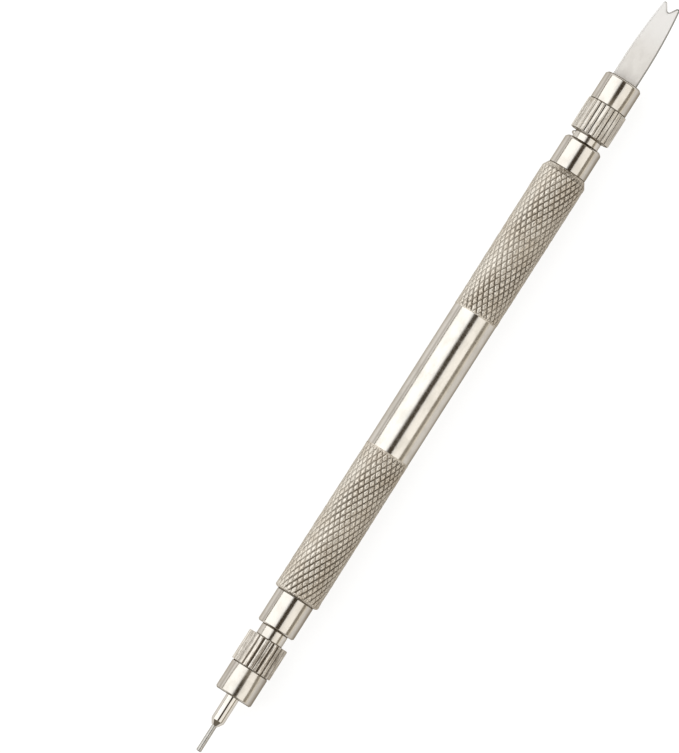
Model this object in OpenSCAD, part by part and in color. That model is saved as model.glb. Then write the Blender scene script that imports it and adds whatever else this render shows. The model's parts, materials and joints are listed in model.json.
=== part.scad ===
// Double-ended spring bar tool: a knurled steel handle with a screw chuck at each end.
// One chuck clamps a flat forked blade, the other a reversible tip with a thin pin and a fine fork.
// The tool lies along X with the pin end at -X; z = 0 is the line that the grips rest on.

/* [Handle] */
// Diameter over the knurl of both grips
grip_d = 8.15; // [8.15:0.05:9]
// Length of each knurled grip
grip_l = 27.85; // [20:0.05:35]
// Chamfer at the outer end of the pin grip
pin_grip_chamfer = 0.5; // [0.2:0.1:1]
// Chamfer at the outer end of the fork grip
fork_grip_chamfer = 0.95; // [0.2:0.05:1.2]
// Diameter of the smooth bar between the grips
centre_d = 7.8; // [7.2:0.1:7.8]
// Length of the smooth bar between the grips
centre_l = 26.6; // [10:0.1:40]
// Diameter of the collar at each end of the handle
collar_d = 6.75; // [6.2:0.05:7.2]
// Length of the collar at the pin end
pin_collar_l = 6.2; // [5:0.1:10]
// Length of the collar at the fork end
fork_collar_l = 5.4; // [4:0.1:10]
// Chamfer on the edge of the collar at the pin end
pin_collar_chamfer = 0.25; // [0.1:0.05:0.8]
// Chamfer on the edge of the collar at the fork end
fork_collar_chamfer = 0.4; // [0.1:0.05:0.8]

/* [Chucks] */
// Diameter of the neck that shows between a collar and its nut
neck_d = 4.8; // [4.6:0.1:5]
// Length of neck that shows at the pin end
pin_neck_l = 2.0; // [1.5:0.1:4]
// Length of neck that shows at the fork end
fork_neck_l = 1.5; // [1.2:0.1:3]
// Outside diameter of the chuck's thread
thread_d = 5.4; // [5.3:0.05:5.5]
// Diameter of the plain stem pressed into the handle
stem_d = 4.0; // [3.6:0.1:4.4]
// Length of the stem pressed into the handle
stem_l = 6.0; // [5:0.1:8]
// Width of each saw cut that splits the pin chuck into four jaws
collet_slot = 0.4; // [0.3:0.05:0.6]

/* [Nuts] */
// Diameter over the straight knurl of both nuts
nut_ring_d = 7.25; // [7:0.05:8]
// Diameter of the smooth nose of both nuts
nut_nose_d = 6.65; // [6.4:0.05:6.9]
// Length of the knurled ring of the pin nut
pin_ring_l = 5.5; // [4:0.1:8]
// Length of the smooth nose of the pin nut
pin_nose_l = 5.4; // [5:0.1:8]
// Length of the knurled ring of the fork nut
fork_ring_l = 5.55; // [4:0.05:8]
// Length of the smooth nose of the fork nut
fork_nose_l = 5.15; // [4.5:0.05:8]
// Number of grooves in the straight knurl
knurl_count = 24; // [12:1:36]
// Depth of each groove in the straight knurl
knurl_depth = 0.22; // [0.1:0.02:0.3]

/* [Forked blade] */
// Whole length of the blade with its tang
blade_l = 28.4; // [26:0.1:32]
// Length of blade that shows in front of the nut
blade_out_l = 14.7; // [12:0.1:16]
// Width of the blade
blade_w = 4.5; // [3.5:0.1:4.5]
// Thickness of the blade
blade_t = 0.6; // [0.4:0.05:0.6]
// Width of the blade across its two prongs
fork_w = 3.0; // [2.6:0.1:3.4]
// Length over which the blade narrows to the prongs
taper_l = 11.6; // [8:0.1:12]
// Depth of the notch between the prongs
notch_depth = 1.3; // [1:0.05:1.6]
// Radius at the bottom of the notch
notch_r = 0.3; // [0.2:0.02:0.4]
// Radius of each prong's round tip
prong_r = 0.36; // [0.3:0.02:0.42]
// Width of the tang at the blade's root
tang_w = 1.85; // [1.2:0.05:1.85]
// Length of the tang at the blade's root
tang_l = 2.75; // [2:0.05:3]

/* [Reversible tip] */
// Diameter of the tip's holder
holder_d = 2.33; // [2:0.01:2.33]
// Length of the tip's holder with its two cones
holder_l = 16.5; // [15:0.1:18]
// Length of the cone at each end of the holder
holder_cone_l = 0.95; // [0.5:0.05:1.5]
// Length of holder that shows in front of the nut
holder_out_l = 5.5; // [4:0.1:7]
// Diameter of the thin pin
pin_d = 0.9; // [0.7:0.05:1.1]
// Length of the thin pin in front of its holder
pin_l = 4.9; // [4:0.1:6]
// Diameter of the fine fork's rod
fine_fork_d = 1.5; // [1.2:0.05:1.6]
// Length of the fine fork's rod behind its holder
fine_fork_l = 6.2; // [5:0.1:6.2]

/* [Hidden] */
$fn = 96;

// Clearances: a turning fit, the holder in its bore, the blade in its slot, the tang in its hole, and a bore's blind end
fit_gap = 0.05;
holder_gap = 0.035;
slot_gap = 0.03;
slot_lead = 0.15;
tang_gap = 0.2;
blind_gap = 0.4;

// How far a cutter runs past the part, and how far two joined pieces of an outline overlap
overcut = 1;
overlap = 0.1;

// Radii that the outlines use
grip_r = grip_d / 2;
centre_r = centre_d / 2;
collar_r = collar_d / 2;
neck_r = neck_d / 2;
thread_r = thread_d / 2;
stem_r = stem_d / 2;
holder_r = holder_d / 2;
ring_r = nut_ring_d / 2;
nose_r = nut_nose_d / 2;

// Stations along the tool, counted from the pin's point
pin_nut_front = pin_l + holder_out_l;
pin_nut_back = pin_nut_front + pin_nose_l + pin_ring_l;
handle_start = pin_nut_back + pin_neck_l;
pin_grip_start = handle_start + pin_collar_l;
pin_grip_end = pin_grip_start + grip_l;
fork_grip_start = pin_grip_end + centre_l;
fork_grip_end = fork_grip_start + grip_l;
handle_end = fork_grip_end + fork_collar_l;
fork_nut_back = handle_end + fork_neck_l;
fork_nut_front = fork_nut_back + fork_ring_l + fork_nose_l;
tool_l = fork_nut_front + blade_out_l;
blade_start = tool_l - blade_l;
shoulder = blade_start + tang_l;
holder_end = pin_l + holder_l;
tip_end = holder_end + fine_fork_l;

// Inside of a nut, as distances from its front face
mouth_l = 0.9;
seat_l = 3.2;
seat_step = 0.1;
pin_seat_step = 0.4;
fork_seat_step = 0.05;
pin_mouth_gap = 0.085;
fork_mouth_gap = 0.1;
jaw_gap = 0.15;
thread_gap = 0.25;
pin_mouth_r = holder_r + pin_mouth_gap;
fork_mouth_r = blade_w / 2 + fork_mouth_gap;
bore_r = thread_r + fit_gap;
jaw_setback = mouth_l + jaw_gap;
thread_setback = mouth_l + seat_l + thread_gap;
entry_chamfer = 0.2;

// Edges, and the foot of the fork grip's cone over its collar
pin_nut_edge = 0.25;
fork_nut_edge = 0.35;
ring_edge = 0.25;
grip_foot = 0.1;
neck_overlap = 0.3;
relief_l = 0.5;
tang_corner = 0.4;
pin_point = 0.12;

// Share of the straight knurl's pitch that a groove takes at the surface
groove_share = 0.55;

// How deep a rod is pressed into the holder, how much it tapers there, and the flat round it
rod_set = 3;
rod_taper = 0.08;
cone_land = 0.12;

// Curve of the blade's sides, and where it turns into a prong's round tip
side_drop = (blade_w - fork_w) / 2;
side_r = (taper_l * taper_l + side_drop * side_drop) / (2 * side_drop);
taper_start = tool_l - taper_l;
prong_x = tool_l - prong_r;
prong_y = blade_w / 2 - side_r + sqrt(pow(side_r - prong_r, 2) - pow(taper_l - prong_r, 2));
prong_lean = asin((taper_l - prong_r) / (side_r - prong_r));

// Centre of the round bottom of the notch, and the slope of the notch's straight sides
notch_x = tool_l - notch_depth + notch_r;
notch_slope = atan2(prong_y, prong_x - notch_x) - asin((prong_r + notch_r) / norm([prong_x - notch_x, prong_y]));

// Puts a shape that was made along Z, counted from the pin's point, on the tool's axis
module on_axis() {
  translate([-tool_l / 2, 0, grip_r])
    rotate([0, 90, 0])
      children();
}

// Turns an outline of [station, radius] points about the tool's axis
module turned(outline) {
  on_axis()
    rotate_extrude()
      polygon([for (p = outline) [p[1], p[0]]]);
}

// Grooves of the straight knurl, as triangular prisms from one station to another
module straight_knurl(from, to) {
  groove_half = PI * ring_r / knurl_count * groove_share;
  on_axis()
    for (i = [0:knurl_count - 1])
      rotate([0, 0, i * 360 / knurl_count])
        translate([0, 0, from])
          linear_extrude(to - from)
            polygon([
              [ring_r - knurl_depth, 0],
              [ring_r + knurl_depth, groove_half * 2],
              [ring_r + knurl_depth, -groove_half * 2],
            ]);
}

module handle() {
  socket_l = stem_l + blind_gap;
  color("lightsteelblue")
    turned([
      [handle_start + socket_l, 0],
      [handle_start + socket_l, stem_r],
      [handle_start, stem_r],
      [handle_start, collar_r - pin_collar_chamfer],
      [handle_start + pin_collar_chamfer, collar_r],
      [pin_grip_start, collar_r],
      [pin_grip_start, grip_r - pin_grip_chamfer],
      [pin_grip_start + pin_grip_chamfer, grip_r],
      [pin_grip_end, grip_r],
      [pin_grip_end, centre_r],
      [fork_grip_start, centre_r],
      [fork_grip_start, grip_r],
      [fork_grip_end - fork_grip_chamfer, grip_r],
      [fork_grip_end, collar_r + grip_foot],
      [fork_grip_end, collar_r],
      [handle_end - fork_collar_chamfer, collar_r],
      [handle_end, collar_r - fork_collar_chamfer],
      [handle_end, stem_r],
      [handle_end - socket_l, stem_r],
      [handle_end - socket_l, 0],
    ]);
}

// Two jaws with a slot for the blade and a drilled hole for its tang
module fork_chuck() {
  jaw_end = fork_nut_front - jaw_setback;
  thread_end = fork_nut_front - thread_setback;
  slot_t = blade_t + 2 * slot_gap;
  slot_start = shoulder - slot_lead;
  tang_hole_r = sqrt(tang_w * tang_w + blade_t * blade_t) / 2 + slot_gap;
  color("silver")
    difference() {
      turned([
        [handle_end - stem_l, 0],
        [handle_end - stem_l, stem_r],
        [handle_end, stem_r],
        [handle_end, neck_r],
        [fork_nut_back + neck_overlap, neck_r],
        [fork_nut_back + neck_overlap, thread_r],
        [thread_end, thread_r],
        [thread_end, bore_r - seat_step - fit_gap],
        [jaw_end, fork_mouth_r + fork_seat_step - fit_gap],
        [jaw_end, 0],
      ]);
      translate([slot_start - tool_l / 2, -grip_r, grip_r - slot_t / 2])
        cube([blade_l, grip_d, slot_t]);
      on_axis()
        translate([0, 0, blade_start - tang_gap])
          cylinder(h = tang_l + tang_gap, r = tang_hole_r);
    }
}

// Four jaws drilled right through for the holder, with a blind end inside the handle
module pin_chuck() {
  jaw_end = pin_nut_front + jaw_setback;
  thread_start = pin_nut_front + thread_setback;
  slot_l = pin_nut_back - neck_overlap - jaw_end - relief_l;
  color("silver")
    difference() {
      turned([
        [jaw_end, 0],
        [jaw_end, pin_mouth_r + pin_seat_step - fit_gap],
        [thread_start, bore_r - seat_step - fit_gap],
        [thread_start, thread_r],
        [pin_nut_back - neck_overlap, thread_r],
        [pin_nut_back - neck_overlap, neck_r],
        [handle_start, neck_r],
        [handle_start, stem_r],
        [handle_start + stem_l, stem_r],
        [handle_start + stem_l, 0],
      ]);
      on_axis()
        translate([0, 0, jaw_end - overcut])
          cylinder(h = tip_end + blind_gap - jaw_end + overcut, r = holder_r + holder_gap);
      for (turn = [0, 90])
        on_axis()
          rotate([0, 0, turn + 45])
            translate([-grip_r, -collet_slot / 2, jaw_end - overcut])
              cube([grip_d, collet_slot, slot_l + overcut]);
    }
}

module fork_nut() {
  ring_end = fork_nut_back + fork_ring_l;
  color("gainsboro")
    difference() {
      turned([
        [fork_nut_back, bore_r + entry_chamfer],
        [fork_nut_back, ring_r - ring_edge],
        [fork_nut_back + ring_edge, ring_r],
        [ring_end, ring_r],
        [ring_end, nose_r],
        [fork_nut_front - fork_nut_edge, nose_r],
        [fork_nut_front, nose_r - fork_nut_edge],
        [fork_nut_front, fork_mouth_r],
        [fork_nut_front - mouth_l, fork_mouth_r],
        [fork_nut_front - mouth_l, fork_mouth_r + fork_seat_step],
        [fork_nut_front - mouth_l - seat_l, bore_r - seat_step],
        [fork_nut_front - mouth_l - seat_l, bore_r],
        [fork_nut_back + entry_chamfer, bore_r],
      ]);
      straight_knurl(fork_nut_back - overcut, ring_end);
    }
}

module pin_nut() {
  ring_start = pin_nut_front + pin_nose_l;
  color("gainsboro")
    difference() {
      turned([
        [pin_nut_front, pin_mouth_r],
        [pin_nut_front, nose_r - pin_nut_edge],
        [pin_nut_front + pin_nut_edge, nose_r],
        [ring_start, nose_r],
        [ring_start, ring_r],
        [pin_nut_back - ring_edge, ring_r],
        [pin_nut_back, ring_r - ring_edge],
        [pin_nut_back, bore_r + entry_chamfer],
        [pin_nut_back - entry_chamfer, bore_r],
        [pin_nut_front + mouth_l + seat_l, bore_r],
        [pin_nut_front + mouth_l + seat_l, bore_r - seat_step],
        [pin_nut_front + mouth_l, pin_mouth_r + pin_seat_step],
        [pin_nut_front + mouth_l, pin_mouth_r],
      ]);
      straight_knurl(ring_start, pin_nut_back + overcut);
    }
}

// Flat blade: a tang with round corners, square shoulders, and sides that curve in to two round prongs
module blade_outline() {
  half = blade_w / 2;
  translate([shoulder, -half])
    square([taper_start - shoulder, blade_w]);
  difference() {
    intersection() {
      translate([taper_start, -half])
        square([taper_l, blade_w]);
      translate([taper_start, half - side_r])
        circle(side_r, $fn = 1440);
      translate([taper_start, side_r - half])
        circle(side_r, $fn = 1440);
    }
    notch_outline();
    prong_corner(1);
    prong_corner(-1);
  }
  tang_outline();
}

// What is cut away between the prongs: a round bottom and two straight sides
module notch_outline() {
  foot = [notch_x - notch_r * sin(notch_slope), notch_r * cos(notch_slope)];
  mouth = foot + 2 * notch_depth * [cos(notch_slope), sin(notch_slope)];
  translate([notch_x, 0])
    circle(notch_r);
  polygon([foot, mouth, [mouth[0], -mouth[1]], [foot[0], -foot[1]]]);
}

// What is cut away to round the tip of the prong on one side, 1 or -1
module prong_corner(side) {
  clear = 2 * prong_r;
  translate([prong_x, side * prong_y])
    difference() {
      union() {
        rotate(-side * prong_lean)
          translate([0, (side - 1) * prong_r])
            square(clear);
        rotate(side * notch_slope)
          translate([0, -(side + 1) * prong_r])
            square(clear);
      }
      circle(prong_r);
    }
}

module tang_outline() {
  half = tang_w / 2;
  translate([blade_start + tang_corner, -half])
    square([tang_l - tang_corner + overlap, tang_w]);
  translate([blade_start, tang_corner - half])
    square([tang_l, tang_w - 2 * tang_corner]);
  for (side = [1, -1])
    translate([blade_start + tang_corner, side * (half - tang_corner)])
      circle(tang_corner);
}

module fork_blade() {
  color("whitesmoke")
    translate([-tool_l / 2, 0, grip_r - blade_t / 2])
      linear_extrude(blade_t)
        blade_outline();
}

// Holder with a cone at each end and a blind tapered hole for each pressed rod
module tip_holder() {
  pin_r = pin_d / 2;
  fine_r = fine_fork_d / 2;
  color("darkgray")
    turned([
      [pin_l + rod_set, 0],
      [pin_l + rod_set, pin_r - rod_taper],
      [pin_l, pin_r],
      [pin_l, pin_r + cone_land],
      [pin_l + holder_cone_l, holder_r],
      [holder_end - holder_cone_l, holder_r],
      [holder_end, fine_r + cone_land],
      [holder_end, fine_r],
      [holder_end - rod_set, fine_r - rod_taper],
      [holder_end - rod_set, 0],
    ]);
}

// Thin pin whose tapered root is pressed into the holder
module point_pin() {
  pin_r = pin_d / 2;
  color("dimgray")
    turned([
      [0, 0],
      [0, pin_r - pin_point],
      [pin_point, pin_r],
      [pin_l, pin_r],
      [pin_l + rod_set, pin_r - rod_taper],
      [pin_l + rod_set, 0],
    ]);
}

// Round rod with a V notch across its free end, pressed in like the pin
module fine_fork() {
  fine_r = fine_fork_d / 2;
  notch_l = 1.6;
  notch_half = 0.42;
  color("dimgray")
    difference() {
      turned([
        [holder_end - rod_set, 0],
        [holder_end - rod_set, fine_r - rod_taper],
        [holder_end, fine_r],
        [tip_end, fine_r],
        [tip_end, 0],
      ]);
      translate([tip_end - tool_l / 2, 0, 0])
        linear_extrude(grip_d)
          polygon([
            [-notch_l, 0],
            [notch_l, notch_half * 2],
            [notch_l, -notch_half * 2],
          ]);
    }
}

handle();
fork_chuck();
pin_chuck();
fork_nut();
pin_nut();
fork_blade();
tip_holder();
point_pin();
fine_fork();
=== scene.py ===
"""Looks of a double-ended spring bar tool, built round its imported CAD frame.

Lengths are in millimetres until a mesh is made. The tool's axis is parallel to X, and an angle round it is
counted from the top (+Z) towards +Y.
"""

import json
import math

import bmesh
import bpy
import numpy as np
from mathutils import Matrix, Vector


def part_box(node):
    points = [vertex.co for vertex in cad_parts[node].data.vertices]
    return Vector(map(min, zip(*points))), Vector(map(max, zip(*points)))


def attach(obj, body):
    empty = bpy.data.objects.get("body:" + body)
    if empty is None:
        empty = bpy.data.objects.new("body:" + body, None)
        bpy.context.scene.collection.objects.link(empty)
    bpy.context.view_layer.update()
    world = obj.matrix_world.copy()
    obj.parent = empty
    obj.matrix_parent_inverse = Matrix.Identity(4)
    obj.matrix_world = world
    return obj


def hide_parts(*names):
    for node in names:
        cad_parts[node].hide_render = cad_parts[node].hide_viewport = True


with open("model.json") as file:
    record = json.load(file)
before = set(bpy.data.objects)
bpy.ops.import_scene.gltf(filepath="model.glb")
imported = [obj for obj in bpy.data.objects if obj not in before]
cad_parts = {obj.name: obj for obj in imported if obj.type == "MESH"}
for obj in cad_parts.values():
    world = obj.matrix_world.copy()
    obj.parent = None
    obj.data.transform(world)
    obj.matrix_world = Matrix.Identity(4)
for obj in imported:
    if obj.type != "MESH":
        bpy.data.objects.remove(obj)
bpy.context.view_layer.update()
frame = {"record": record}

MM = 0.001
TAU = 2 * math.pi
SMALL = 1e-6


# ---------------------------------------------------------------- sizes

def span(node):
    """Where a CAD node starts and ends along X."""
    low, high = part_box(node)
    return low.x / MM, high.x / MM


def radius(node):
    """Half of a CAD node's height, which is the radius of a turned one."""
    low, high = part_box(node)
    return (high.z - low.z) / MM / 2


HANDLE_START, HANDLE_END = span("handle")
PIN_NUT_FRONT, PIN_NUT_BACK = span("pin_nut")
FORK_NUT_BACK, FORK_NUT_FRONT = span("fork_nut")
PIN_CHUCK_START, PIN_CHUCK_END = span("pin_chuck")
FORK_CHUCK_START, FORK_CHUCK_END = span("fork_chuck")
BLADE_START, BLADE_END = span("fork_blade")
HOLDER_START, HOLDER_END = span("tip_holder")
PIN_START, PIN_ROOT = span("point_pin")
FINE_ROOT, FINE_END = span("fine_fork")

GRIP_R = radius("handle")
THREAD_R = radius("fork_chuck")
RING_R = radius("fork_nut")
HOLDER_R = radius("tip_holder")
PIN_R = radius("point_pin")
FINE_R = radius("fine_fork")
BLADE_HALF_T = radius("fork_blade")
AXIS_Z = GRIP_R

# Handle
PIN_COLLAR_L = 6.2
FORK_COLLAR_L = 5.4
GRIP_L = 27.85
GRIP_TAPER = 0.09
CENTRE_R = 3.9
COLLAR_R = 3.375
PIN_COLLAR_CHAMFER = 0.25
FORK_COLLAR_CHAMFER = 0.4
PIN_GRIP_CHAMFER = 0.5
FORK_GRIP_CHAMFER = 0.95
FORK_GRIP_FOOT_R = COLLAR_R + 0.1
GROOVE_FLOOR_R = FORK_GRIP_FOOT_R - 0.02
STEM_R = 2.0
STEM_GAP = 0.02
SOCKET_L = 6.4
SEAM_L = 0.17
SEAM_DEPTH = 0.05

# How far apart two rows lie where two finishes or two pieces meet
HAIR = 0.01

# Diamond knurl: grooves of each hand round the grip, and rows of mesh for each step of the pattern
KNURL_COUNT = 25
KNURL_PITCH = 1.85
KNURL_STEPS = 10

# Depth of a groove, half of its width as a share of the pattern's step, the power that shapes its flanks, and
# how much its depth wanders round the grip
KNURL_DEPTH = 0.24
KNURL_GROOVE = 0.215
KNURL_FLANK = 1.15
KNURL_WANDER = 0.12

# How far the diamonds lie under the crests: all of them, by what sets each apart, and by their lean
DIAMOND_DROP = 0.03
DIAMOND_BURR = 0.028
DIAMOND_LEAN = 0.11

# Share of the knurl's depth that is left at a grip's outer end, and the lengths over which its crests and its
# grooves start at the inner end
KNURL_KEPT = 0.35
CREST_RUN_L = 0.14
GROOVE_RUN_L = 0.55

# Nuts
NOSE_R = 3.325
PIN_NOSE_L = 5.4
FORK_NOSE_L = 5.15
PIN_NUT_EDGE = 0.25
FORK_NUT_EDGE = 0.35
RELIEF_L = 0.17
RELIEF_DEPTH = 0.15
BORE_R = THREAD_R + 0.05
MOUTH_L = 0.9
SEAT_L = 3.2
SEAT_STEP = 0.1
PIN_MOUTH_R = HOLDER_R + 0.085
FORK_MOUTH_R = 2.35
PIN_SEAT_STEP = 0.4
FORK_SEAT_STEP = 0.05

# Fillets of a nose's edge and the width of its rim of painted shade, as shares of the edge
EDGE_FILLET = 0.3
RIM_SHARE = 0.4

# Straight knurl of a nut's ring: its edges at the back and at the nose, and rows of mesh for each groove
RING_EDGE = 0.14
RING_STEP_EDGE = 0.1
RING_GROOVES = 24
RING_STEPS = 24
RING_DEPTH = 0.24
RING_CROWN = 0.07

# How its grooves and ribs differ, as (least, spread): a groove's depth, its half width and a rib's lean. Then
# the spread of the grooves' places, how much they drift along the ring, and how steep their flanks are
GROOVE_DEPTHS = (0.52, 0.55)
GROOVE_HALVES = (0.17, 0.12)
RIB_LEANS = (0.6, 0.8)
GROOVE_SHIFT = 0.22
GROOVE_DRIFT = 0.05
GROOVE_FLANK = 1.5

# Chucks
CHUCK_SEGMENTS = 96
NECK_R = 2.4
NECK_SEAM_DEPTH = 0.04
THREAD_PITCH = 0.5
THREAD_DEPTH = 0.27
THREAD_STEPS = 8
THREAD_CREST = 1.25
THREAD_FLANK = 3.2
THREAD_GAP = 0.02
JAW_GAP = 0.15
JAW_THREAD_GAP = 0.25
COLLET_SLOT = 0.4
HOLDER_GAP = 0.035
BLIND_GAP = 0.4
SLOT_GAP = 0.03
SLOT_LEAD = 0.15
TANG_GAP = 0.2

# Burr on the neck behind the fork end's nut: its height, how far behind the nut it lies, and half its size
# along the neck (millimetres) and round it (radians)
BURR_H = 0.42
BURR_BEHIND = 0.75
BURR_HALF_L = 0.3
BURR_HALF_TURN = 0.3

# Blade
BLADE_HALF_W = 2.25
FORK_HALF_W = 1.5
TAPER_L = 11.6
NOTCH_DEPTH = 1.3
NOTCH_R = 0.3
PRONG_R = 0.36
SHOULDER_R = 0.12
BLADE_ROLL = 0.24
BLADE_ROLL_DEPTH = 0.15
BLADE_EDGE = 0.34
TANG_HALF_W = 0.925
TANG_L = 2.75
TANG_CORNER = 0.4

# Reversible tip
CONE_L = 0.95
CONE_LAND = 0.12
ROD_TAPER = 0.08
ROD_GAP = 0.005
PIN_POINT = 0.12
FINE_NOTCH_L = 1.6
FINE_NOTCH_HALF_W = 0.42

# Points that a fillet adds between its two ends, plus one
FILLET_STEPS = 3


# ---------------------------------------------------------------- mesh making

def smoothstep(value):
    """0 below 0, 1 above 1, and a smooth rise between."""
    value = np.clip(value, 0, 1)
    return value * value * (3 - 2 * value)


def scatter(i, j):
    """A steady pseudo-random number from 0 to 1 for each pair of numbers."""
    value = np.sin(np.asarray(i) * 12.9898 + np.asarray(j) * 78.233) * 43758.5453
    return value - np.floor(value)


def filleted(points):
    """An outline whose (x, radius, fillet) corners are rounded. A corner without a fillet stays sharp."""
    outline = []
    for k, point in enumerate(points):
        here = np.array(point[:2], float)
        if len(point) < 3:
            outline.append(tuple(here))
            continue
        before = np.array(points[k - 1][:2], float)
        after = np.array(points[(k + 1) % len(points)][:2], float)
        to_before, to_after = before - here, after - here
        start = here + to_before * min(point[2] / np.linalg.norm(to_before), 0.5)
        end = here + to_after * min(point[2] / np.linalg.norm(to_after), 0.5)
        for t in np.linspace(0, 1, FILLET_STEPS + 1):
            outline.append(tuple((1 - t) ** 2 * start + 2 * t * (1 - t) * here + t * t * end))
    return outline


def band(points, finish):
    """Rows of a turned piece, all with one finish, from (x, radius, fillet) corners."""
    return [(x, r, finish) for x, r in filleted(points)]


def angles_of(segments):
    """Angles of a row's points round the axis."""
    return np.arange(segments) * TAU / segments


def turned(name, rows, segments, finishes, ring=False):
    """A piece of revolution, from rows of (x, radius or radii round the axis, finish of the band that follows).

    The point attribute "sunk" says how far a point lies under the highest point of its row, in millimetres.
    """
    angles = angles_of(segments)
    verts, sunk, loops = [], [], []
    for x, radii, _ in rows:
        first = len(verts)
        if np.isscalar(radii) and radii < SMALL:
            verts.append((x, 0.0, 0.0))
            sunk.append(0.0)
            loops.append([first])
            continue
        radii = np.broadcast_to(np.asarray(radii, float), (segments,))
        verts += list(zip(np.full(segments, x), radii * np.sin(angles), radii * np.cos(angles)))
        sunk += list(radii.max() - radii)
        loops.append(list(range(first, first + segments)))
    faces, slots = [], []
    pairs = list(zip(loops, loops[1:], rows))
    if ring:
        pairs.append((loops[-1], loops[0], rows[-1]))
    for one, two, row in pairs:
        for k in range(segments):
            n = (k + 1) % segments
            corners = [one[k % len(one)], two[k % len(two)], two[n % len(two)], one[n % len(one)]]
            faces.append([c for i, c in enumerate(corners) if c not in corners[:i]])
            slots.append(finishes.index(row[2]))
    piece = mesh_piece(name, [(x, y, z + AXIS_Z) for x, y, z in verts], faces)
    mark(piece, "sunk", sunk)
    piece.data.polygons.foreach_set("material_index", slots)
    for finish in finishes:
        piece.data.materials.append(FINISHES[finish])
    return piece


def mark(piece, name, values):
    """Stores a number for each point of a mesh, for its material to read."""
    piece.data.attributes.new(name, "FLOAT", "POINT").data.foreach_set("value", values)


def mesh_piece(name, verts, faces):
    """A mesh object from points in millimetres, with its faces turned outwards."""
    mesh = bpy.data.meshes.new(name)
    mesh.from_pydata([tuple(MM * float(c) for c in v) for v in verts], [], faces)
    body = bmesh.new()
    body.from_mesh(mesh)
    bmesh.ops.recalc_face_normals(body, faces=body.faces)
    body.to_mesh(mesh)
    body.free()
    piece = bpy.data.objects.new(name, mesh)
    bpy.context.scene.collection.objects.link(piece)
    return piece


def prism(name, outline, low, high, axis):
    """A cutter: a closed outline extended along an axis (0 for X, 2 for Z), in millimetres."""
    count = len(outline)
    verts = [np.insert(p, axis, end) for end in (low, high) for p in np.array(outline, float)]
    faces = [list(range(count)), list(range(count, 2 * count))]
    faces += [[k, (k + 1) % count, (k + 1) % count + count, k + count] for k in range(count)]
    return mesh_piece(name, verts, faces)


def cut(piece, cutters):
    """Takes the cutters away from a piece, and keeps the result as its mesh."""
    for cutter in cutters:
        step = piece.modifiers.new(cutter.name, "BOOLEAN")
        step.object = cutter
        step.operation = "DIFFERENCE"
        step.solver = "EXACT"
    evaluated = piece.evaluated_get(bpy.context.evaluated_depsgraph_get())
    mesh = bpy.data.meshes.new_from_object(evaluated)
    piece.modifiers.clear()
    piece.data = mesh
    for cutter in cutters:
        bpy.data.objects.remove(cutter)


def shade(piece, sharp_deg=32):
    """Smooth shading that breaks at edges sharper than the angle."""
    piece.data.shade_smooth()
    piece.data.set_sharp_from_angle(angle=math.radians(sharp_deg))


def stand_for(piece, node):
    """Lets a piece take the place of a CAD node: it rides on the node's body, and the node is hidden."""
    body = next(b for b, nodes in frame["record"]["behaviour"]["bodies"].items() if node in nodes)
    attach(piece, body)
    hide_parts(node)


# ---------------------------------------------------------------- materials

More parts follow.
